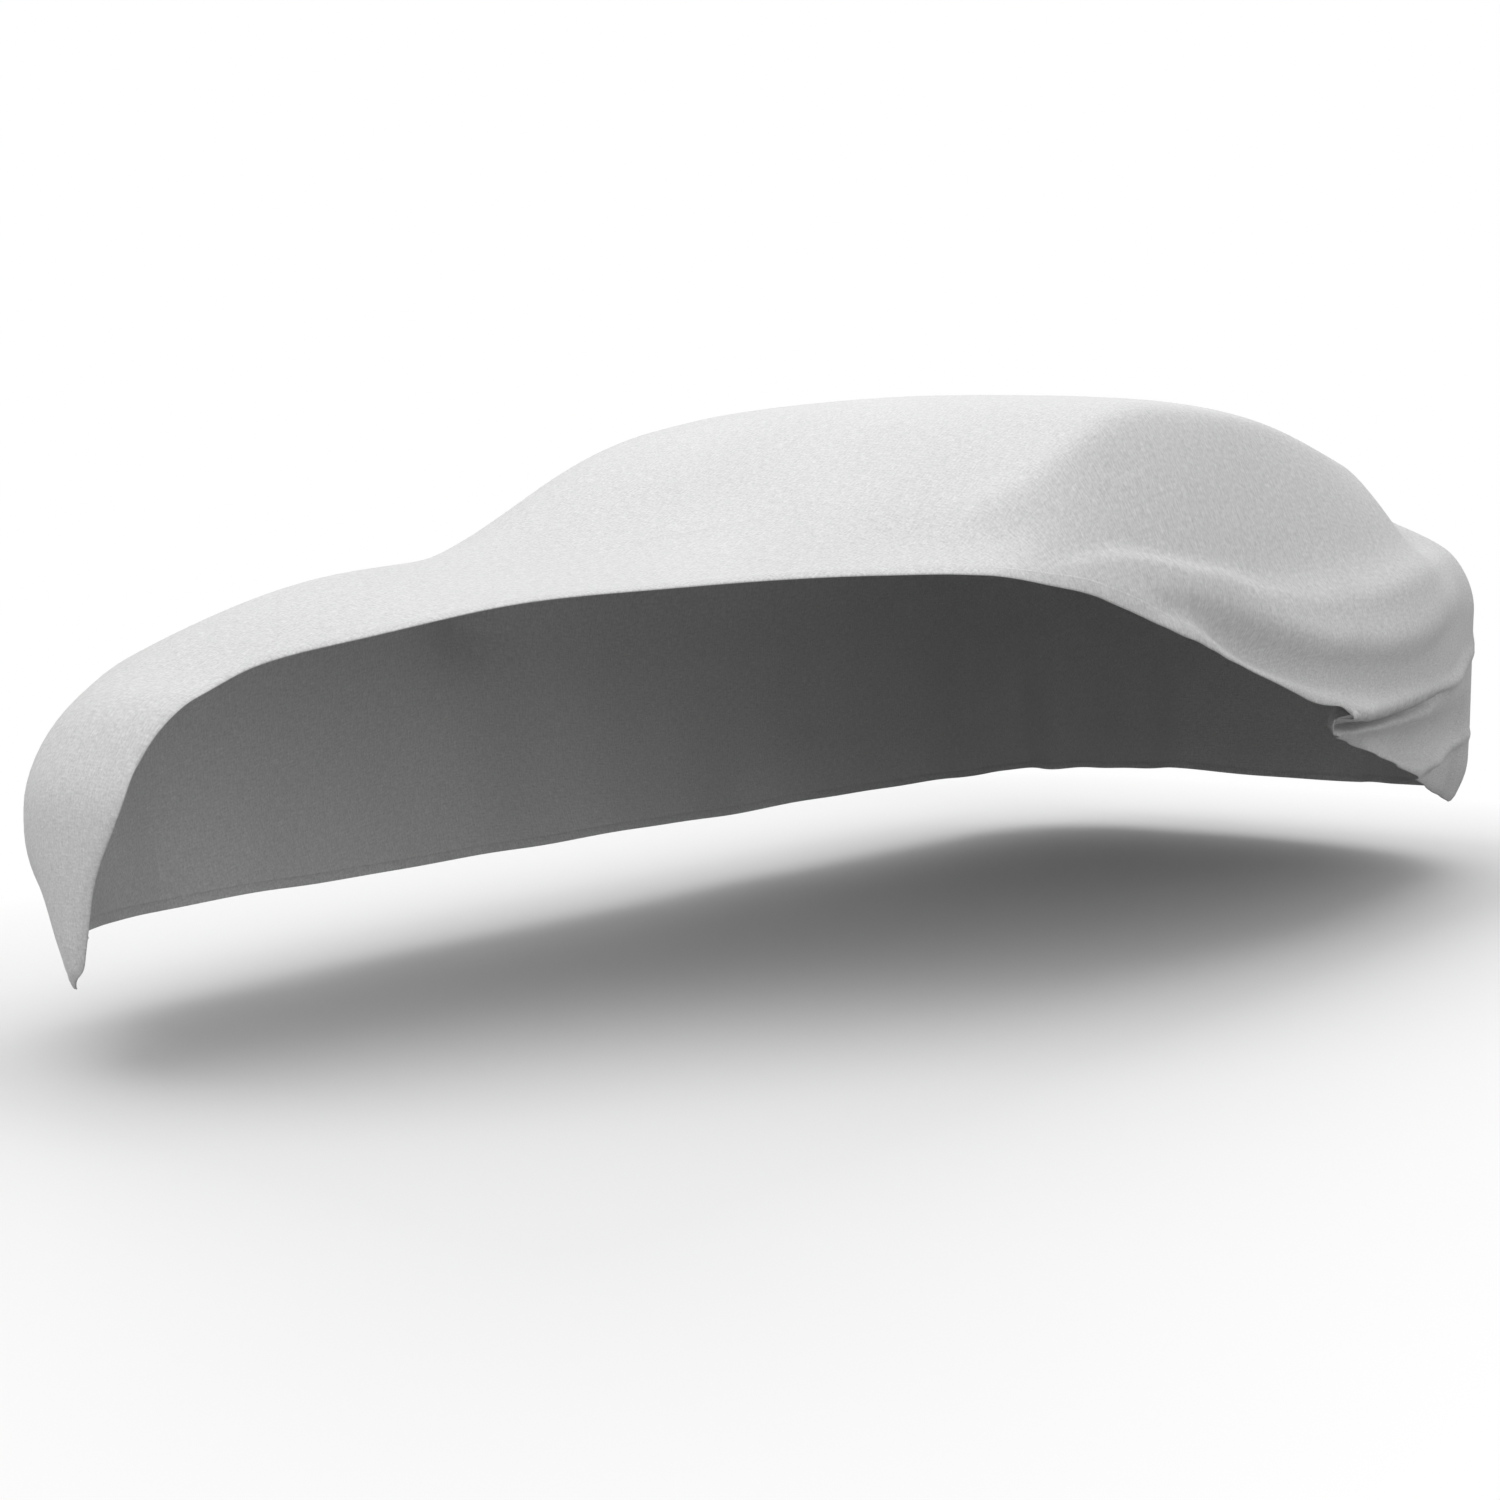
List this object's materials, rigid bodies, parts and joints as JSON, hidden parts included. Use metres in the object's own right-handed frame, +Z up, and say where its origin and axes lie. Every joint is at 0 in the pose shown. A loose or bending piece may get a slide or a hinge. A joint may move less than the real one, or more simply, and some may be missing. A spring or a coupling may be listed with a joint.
{
  "type": "car cover",
  "caption": "Fitted car cover in light grey matt cloth, in its hanging shape, with the front left quarter drawn up and soft folds down the left side.",
  "frame": {"origin": "underside of the cloth on the crown, where the cover is held up", "axes": "+Y from the nose to the tail, +X to the cover's left side, +Z up"},
  "size_m": [2.0704, 4.9322, 1.3192],
  "materials": {
    "cover_cloth": "matt light grey cloth with a fine even weave"
  },
  "bodies": {
    "root": {"cover": "cover_cloth"}
  },
  "joints": []
}
